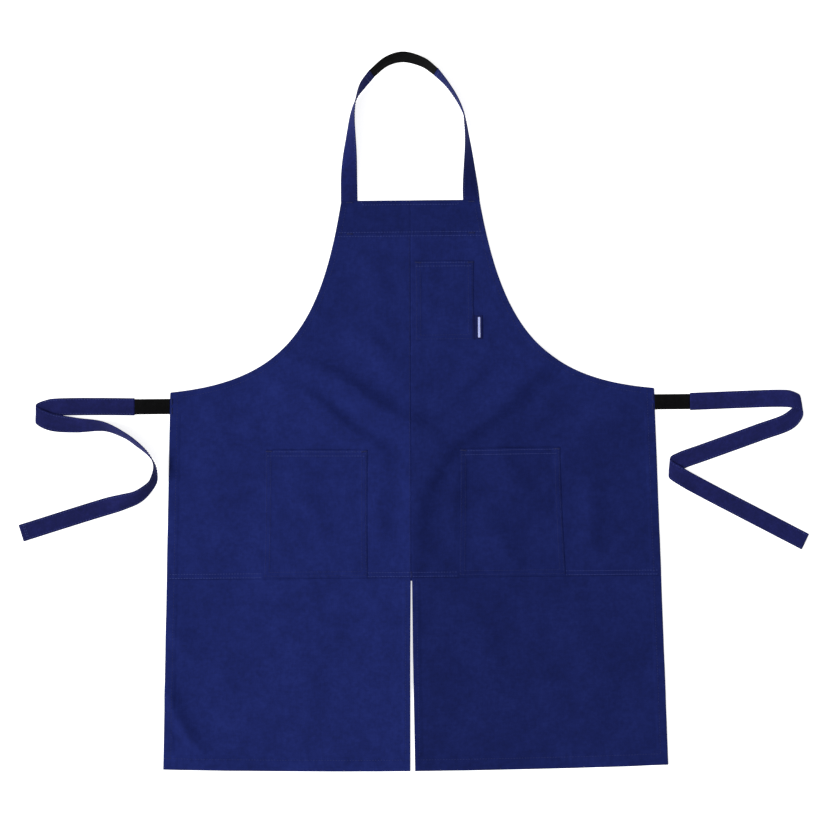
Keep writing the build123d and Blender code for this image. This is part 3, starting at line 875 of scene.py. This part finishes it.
def stitches(name, place, along, normal, length, radius, body, material=None):
    """Many stitches in one mesh, each a short bowed thread of 4 rings and 5 sides.

    A stitch runs through place + along * s * length/2 for s from -1 to 1 and stands off by
    radius * (1.1 - 1.5 s^2), so that both its ends sink into the cloth; its own radius is
    radius * (1 - 0.55 s^2). place, along and normal are arrays of points and unit vectors.
    """
    s = np.array([-1.0, -0.4, 0.4, 1.0])
    a = np.linspace(0, 2 * np.pi, 5, endpoint=False)
    side = np.cross(normal, along)
    spine = (place[:, None] + along[:, None] * (s * length / 2)[None, :, None]
             + normal[:, None] * (radius * (1.1 - 1.5 * s**2))[None, :, None])
    cosine, sine = np.cos(a)[None, None, :, None], np.sin(a)[None, None, :, None]
    ring = side[:, None, None] * cosine + normal[:, None, None] * sine
    points = spine[:, :, None] + ring * (radius * (1 - 0.55 * s**2))[None, :, None, None]
    index = np.arange(len(place) * 20).reshape(-1, 4, 5)
    looped = np.concatenate([index, index[:, :, :1]], 2)
    walls = np.stack([looped[:, :-1, :-1], looped[:, 1:, :-1], looped[:, 1:, 1:], looped[:, :-1, 1:]], -1)
    faces = walls.reshape(-1, 4).tolist() + index[:, 0].tolist() + index[:, -1, ::-1].tolist()
    return new_piece(name, points.reshape(-1, 3), faces, body, material or thread)


def walk(path, margin):
    """Places every pitch along a broken line in plan, and the unit direction of travel at each."""
    p = np.asarray(path, float)
    run = np.concatenate([[0], np.cumsum(np.hypot(*np.diff(p, axis=0).T))])
    even = np.arange(margin, run[-1] - margin, PITCH)
    at = along_run(even, run, p)
    along = along_run(even + 0.5, run, p) - at
    return at, along / np.hypot(*along.T)[:, None]


def rows_on(paths, surface, face=1):
    """Places, directions and normals of stitches along paths on a surface z(x, y).

    face is 1 for the surface's upper side and -1 for its underside, where the stitches lie
    half a pitch further on.
    """
    steps = [walk(path, 1.5 if face > 0 else 1.5 + PITCH / 2) for path in paths]
    at, along = (np.concatenate(part) for part in zip(*steps))
    height = [surface(*(at + along * s * STITCH / 2).T) for s in (-1, 0, 1)]
    slope = (height[2] - height[0]) / STITCH
    place = np.column_stack([at, height[1]])
    direction = np.column_stack([along, slope])
    direction /= np.linalg.norm(direction, axis=1)[:, None]
    level = np.column_stack([-along[:, 1], along[:, 0], 0 * slope])
    normal = np.cross(direction, level) * face
    return place - normal * SUNK[face], direction, normal


def line(x, y, count=60):
    """Path through x and y, either of which may be one number."""
    t = np.linspace(0, 1, count)
    return np.column_stack([np.interp(t, np.linspace(0, 1, np.size(v)), np.ravel(v)) for v in (x, y)])


def inside_armhole(gap):
    """Path a given distance inside the right armhole."""
    points = armhole_points(200)
    step = np.gradient(points, axis=0)
    step /= np.hypot(*step.T)[:, None]
    return (points + gap * np.stack([step[:, 1], -step[:, 0]], -1))[4:-8]


def flipped(path):
    """The same path on the other side of the middle."""
    return path * np.array([-1, 1])


bib_x = [float(np.interp(y, ARMHOLE[::-1, 1], ARMHOLE[::-1, 0])) - 5 for y in BIB_ROWS]
down_side = np.linspace(-3, LEG_SEAM + 2, 60)
down_seam = np.linspace(FACING_EDGE - 3, LEG_SEAM + 3, 80)
arm_rows = [inside_armhole(gap) for gap in ARMHOLE_ROWS]
side_row = line(side_x(down_side) - SIDE_HEM + HEM_ROW_INSET, down_side)
front_rows = [line([-x, x], y) for x, y in zip(bib_x, BIB_ROWS)]
front_rows += [line([-74, -70, 70, 74], [BIB_TOP - 1.5, BIB_TOP - 6.5, BIB_TOP - 6.5, BIB_TOP - 1.5])]
for y in LEG_SEAM_ROWS:
    stops = [-side_x(y) + 4, -226, -69, 67, 227, side_x(y) - 4]
    front_rows += [line(stops[i:i + 2], y, 4) for i in (0, 2, 4)]
hem_rows = [line(seam_x(down_seam) + SEAM_ROW, down_seam)]
hem_rows += [p for row in arm_rows + [side_row] for p in (row, flipped(row))]
behind = rows_on(front_rows + hem_rows, front_back, -1)
stitches("front_stitches", *rows_on(front_rows, front_top), STITCH, THREAD, "front")
# Hem rows and the rows behind use the thread painted a shade darker as painted shade.
stitches("front_hem_stitches", *rows_on(hem_rows, front_top), STITCH, THREAD, "front", thread_painted_shade)
stitches("front_stitches_behind", *behind, STITCH, THREAD, "front", thread_painted_shade)


def pocket_top(name):
    """Front surface of a pocket as a function of x and y: u and v are found from its corners."""
    a, b, c, d = (np.array(p, float) for p in POCKETS[name][0])

    def surface(x, y):
        v = np.clip((y - a[1]) / (c[1] - a[1]), 0, 1)
        left, right = a[0] + (c[0] - a[0]) * v, b[0] + (d[0] - b[0]) * v
        u = np.clip((x - left) / (right - left), 0, 1)
        return pocket_surfaces(name, x, y, u, v)[0]

    return surface


def pocket_rows(name, x_shares, y_shares):
    """Paths over a pocket: up it at each of two shares of its width, or across it at one of its height."""
    x, y = patch(POCKETS[name][0], x_shares, y_shares, POCKET_BOW)
    paths = np.stack([x, y], -1)
    return list(paths if len(y_shares) == 1 else paths.transpose(1, 0, 2))


for name in POCKETS:
    width, height = node_size(name)
    sides = []
    for gap in POCKET_ROWS:
        margin = np.array([gap / width, 1 - gap / width])
        sides += pocket_rows(name, margin, np.linspace(gap / height, 1, 60))
        sides += pocket_rows(name, np.linspace(*margin, 60), np.array([gap / height]))
    mouths = [row for gap in MOUTH_ROWS[name]
              for row in pocket_rows(name, np.linspace(0.02, 0.98, 60), np.array([1 - gap / height]))]
    top = pocket_top(name)
    stitches(name + "_stitches", *rows_on(mouths, top), STITCH, THREAD, "front")
    # The pockets' side rows use the thread painted a shade darker as painted shade.
    stitches(name + "_side_stitches", *rows_on(sides, top), STITCH, THREAD, "front", thread_painted_shade)

for sign, side in ((1, "right"), (-1, "left")):
    ys = np.linspace(LEG_TOP - 3, HEM + BOTTOM_HEM, 60)
    out = np.linspace(slit_x(HEM) + 4, HEM_HALF - 4, 80)
    rows = [
        line(sign * (side_x(ys) - SIDE_HEM + HEM_ROW_INSET), ys),
        line(seam_x(ys) + sign * (slit_x(ys) + SLIT_HEM_WIDTH - HEM_ROW_INSET), ys),
        line(seam_x(HEM) + sign * out, hem_line(out) + BOTTOM_HEM - HEM_ROW_INSET, 80),
    ]
    for name, surface, face in (("_leg_stitches", leg_top, 1), ("_leg_stitches_behind", leg_back, -1)):
        # The leg rows use the thread painted a shade darker as painted shade.
        made = stitches(side + name, *rows_on(rows, surface, face), STITCH, THREAD, None, thread_painted_shade)
        leg_bends(made)

# Two rows along each strap on both faces, and two across it: where a neck strap meets its elastic,
# and at the hemmed end of a tie.
for name, (body, width, (run, centre, across, normal)) in STRAPS.items():
    at = np.arange(3.0, run[-1] - 2.0, PITCH)
    frame_at = [along_run(at, run, part) for part in (centre, across, normal)]
    ahead = along_run(at + 1.0, run, centre) - frame_at[0]
    along = ahead / np.linalg.norm(ahead, axis=1)[:, None]
    sets = []
    depth = {face: face * (STRAP_THICK / 2 - SUNK[face]) for face in (1, -1)}
    for gap in (2.5 - width / 2, width / 2 - 2.5):
        for face in (1, -1):
            place = frame_at[0] + frame_at[1] * gap + frame_at[2] * depth[face]
            sets.append((place, along, frame_at[2] * face))
    ends = (4.0, 10.0) if "neck" in name else (6.0, 9.0)
    far = name == "left_neck_strap" or "tie" in name
    for gap in ends:
        k = int(np.argmin(np.abs(run - (run[-1] - gap if far else gap))))
        spots = np.arange(-width / 2 + 3.5, width / 2 - 3, 4.0)[:, None]
        for face in (1, -1):
            place = centre[k] + across[k] * spots + normal[k] * depth[face]
            sets.append((place, across[k] + 0 * spots, normal[k] * face + 0 * spots))
    stitches(name + "_stitches", *(np.concatenate(part) for part in zip(*sets)), STRAP_STITCH, THREAD, body)

# ---- bartacks and label ---------------------------------------------------------------------


def bartack_piece(name, places, surface, upright=False):
    """Bartacks: ten threads laid close side by side across each bar, standing on the surface."""
    n, half = BARTACK_THREADS, BARTACK_LENGTH / 2 - 0.4
    spots = np.column_stack([np.linspace(-half, half, n), np.zeros(n)])
    slant = np.array([0.12, 1.0, 0.0])
    if upright:
        spots, slant = spots[:, ::-1], slant[[1, 0, 2]]
    at = np.concatenate([np.array(place) + spots for place in places])
    along = np.tile(slant / np.linalg.norm(slant), (len(at), 1))
    place = np.column_stack([at, surface(at[:, 0], at[:, 1]) + 0.1])
    normal = np.tile([0.0, 0.0, 1.0], (len(at), 1))
    sizes = (BARTACK_WIDTH, BARTACK_THREAD)
    # Bartacks use the thread painted a shade darker as painted shade.
    piece = stitches(name + "_thread", place, along, normal, *sizes, "front", thread_painted_shade)
    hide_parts(name)


def over_pockets(names):
    """Surface made of the front and of the pockets named, whichever is higher under the point."""
    def surface(x, y):
        top = front_top(x, y)
        for name in names:
            corners = POCKETS[name][0]
            inside = (x > corners[0][0]) & (x < corners[1][0]) & (y < corners[2][1])
            top = np.where(inside, np.maximum(top, pocket_top(name)(x, y)), top)
        return top

    return surface


def mouth_corners(name):
    """Places of the two bartacks at a pocket's mouth."""
    left, right = POCKETS[name][0][2:]
    half = BARTACK_LENGTH / 2 + 0.5
    return [(left[0] + half, left[1] - 2.5), (right[0] - half, right[1] - 2.5)]


hips = ["left_hip_pocket", "right_hip_pocket"]
bartack_piece("hip_pocket_bartacks", [p for name in hips for p in mouth_corners(name)], over_pockets(hips))
bartack_piece("chest_pocket_bartacks", mouth_corners("chest_pocket"), over_pockets(["chest_pocket"]))
bartack_piece("split_bartack", [(float(seam_x(LEG_SEAM)), LEG_SEAM + 4.5)], front_top, True)
tacks = [(s * (BIB_HALF - NECK_WIDTH / 2), y) for s in (-1, 1) for y in (BIB_TOP - 2.5, FACING_EDGE + 2.5)]
bartack_piece("neck_strap_bartacks", tacks, front_top)
tacks = [(s * (WAIST_HALF - 2.5), elastic_mid + d) for s in (-1, 1) for d in (-7, 7)]
bartack_piece("waist_elastic_bartacks", tacks, front_top, True)

# The label stands out of the pocket's side seam, curls up a little and ends in mid air.
LABEL_TUCK, LABEL_THICK, LABEL_CURL, BAR_THICK = 3, 0.55, 0.5, 0.25
low, high = node_box("label_tab")
fine = (0.15, 0.35, 0.7)
across, up = spread(high[0] - low[0] + LABEL_TUCK, 0.9, rim=fine), spread(high[1] - low[1], 1.1, rim=fine)
left = low[0] - LABEL_TUCK
x, y = patch([(left, low[1]), (high[0], low[1] + 0.4), (left, high[1]), (high[0], high[1] - 0.3)], across, up)
on_pocket = over_pockets(["chest_pocket"])(np.minimum(x, low[0] - 0.5), y) * smooth((low[0] + 1 - x) / 1.5)
label_back = np.maximum(front_top(x, y), on_pocket) + 0.1 + LABEL_CURL * ((x - low[0]) / 12) ** 2
rims = grid_rims(across, 15, up, 36, 0.9)
surfaces = (label_back + LABEL_THICK, label_back)
label = sheet_piece("label_tab_cloth", x, y, surfaces, rims, "front", label_ground)
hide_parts("label_tab")

fine = (0.1, 0.3)
across, up = spread(BAR_WIDTH, 0.7, rim=fine), spread(BAR_HEIGHT, 1.0, rim=fine)
x0 = low[0] + (high[0] - low[0] - BAR_WIDTH) / 2 + 1
y0 = low[1] + (high[1] - low[1] - BAR_HEIGHT) / 2
x1, y1 = x0 + BAR_WIDTH, y0 + BAR_HEIGHT
x, y = patch([(x0, y0), (x1, y0), (x0, y1), (x1, y1)], across, up)
ground = front_top(x, y) + 0.1 + LABEL_CURL * ((x - low[0]) / 12) ** 2 + 0.5
rims = grid_rims(across, BAR_WIDTH, up, BAR_HEIGHT, 0.3)
sheet_piece("label_bar", x, y, (ground + BAR_THICK, ground - 0.1), rims, "front", label_bar)

# ---- floor, light and camera ----------------------------------------------------------------

FLOOR_REACH, FLOOR_DROP = 40.0, 0.0008
square = [(FLOOR_REACH * x, FLOOR_REACH * y, -FLOOR_DROP) for x, y in ((-1, -1), (1, -1), (1, 1), (-1, 1))]
floor_mesh = bpy.data.meshes.new("floor")
floor_mesh.from_pydata(square, [], [(0, 1, 2, 3)])
floor = bpy.data.objects.new("floor", floor_mesh)
bpy.context.scene.collection.objects.link(floor)
# A light table: matte white acrylic, lit from within, so that shadows on it stay faint.
table = bpy.data.materials.new("white_acrylic_light_table")
table.use_nodes = True
for socket, value in (("Base Color", srgb("F2F2F2")), ("Roughness", 0.9), ("Specular IOR Level", 0.1),
                      ("Emission Color", srgb("FFFFFF")), ("Emission Strength", 0.66)):
    table.node_tree.nodes["Principled BSDF"].inputs[socket].default_value = value
floor_mesh.materials.append(table)

# A soft, distant key low on the left, which rakes over the folds, and a weak fill opposite: where
# each stands, how wide it looks in radians, and its strength.
LAMPS = (("key", (-1.0, -0.05, 0.84), 0.40, 3.05), ("fill", (0.8, -0.5, 1.0), 0.8, 0.35))
for name, place, softness, strength in LAMPS:
    light = bpy.data.lights.new(name, "SUN")
    light.energy, light.angle = strength, softness
    lamp = bpy.data.objects.new(name, light)
    lamp.rotation_euler = (-Vector(place)).to_track_quat("-Z", "Y").to_euler()
    bpy.context.scene.collection.objects.link(lamp)

world = bpy.data.worlds.new("studio")
world.use_nodes = True
world.node_tree.nodes["Background"].inputs["Color"].default_value = srgb("FFFFFF")
world.node_tree.nodes["Background"].inputs["Strength"].default_value = 0.42
bpy.context.scene.world = world
bpy.context.scene.view_settings.view_transform = "Standard"

camera_data = bpy.data.cameras.new("camera")
camera_data.lens = 100
camera_data.sensor_width = 36
camera_data.clip_end = 200
camera = bpy.data.objects.new("camera", camera_data)
# Straight above the apron: what the view takes in across at the floor, in metres, and its roll.
VIEW_WIDTH, ROLL = 1.2465, -0.55
camera.location = (0.0061, -0.0395, VIEW_WIDTH * camera_data.lens / camera_data.sensor_width)
camera.rotation_euler = (0, 0, np.radians(ROLL))
bpy.context.scene.collection.objects.link(camera)
bpy.context.scene.camera = camera
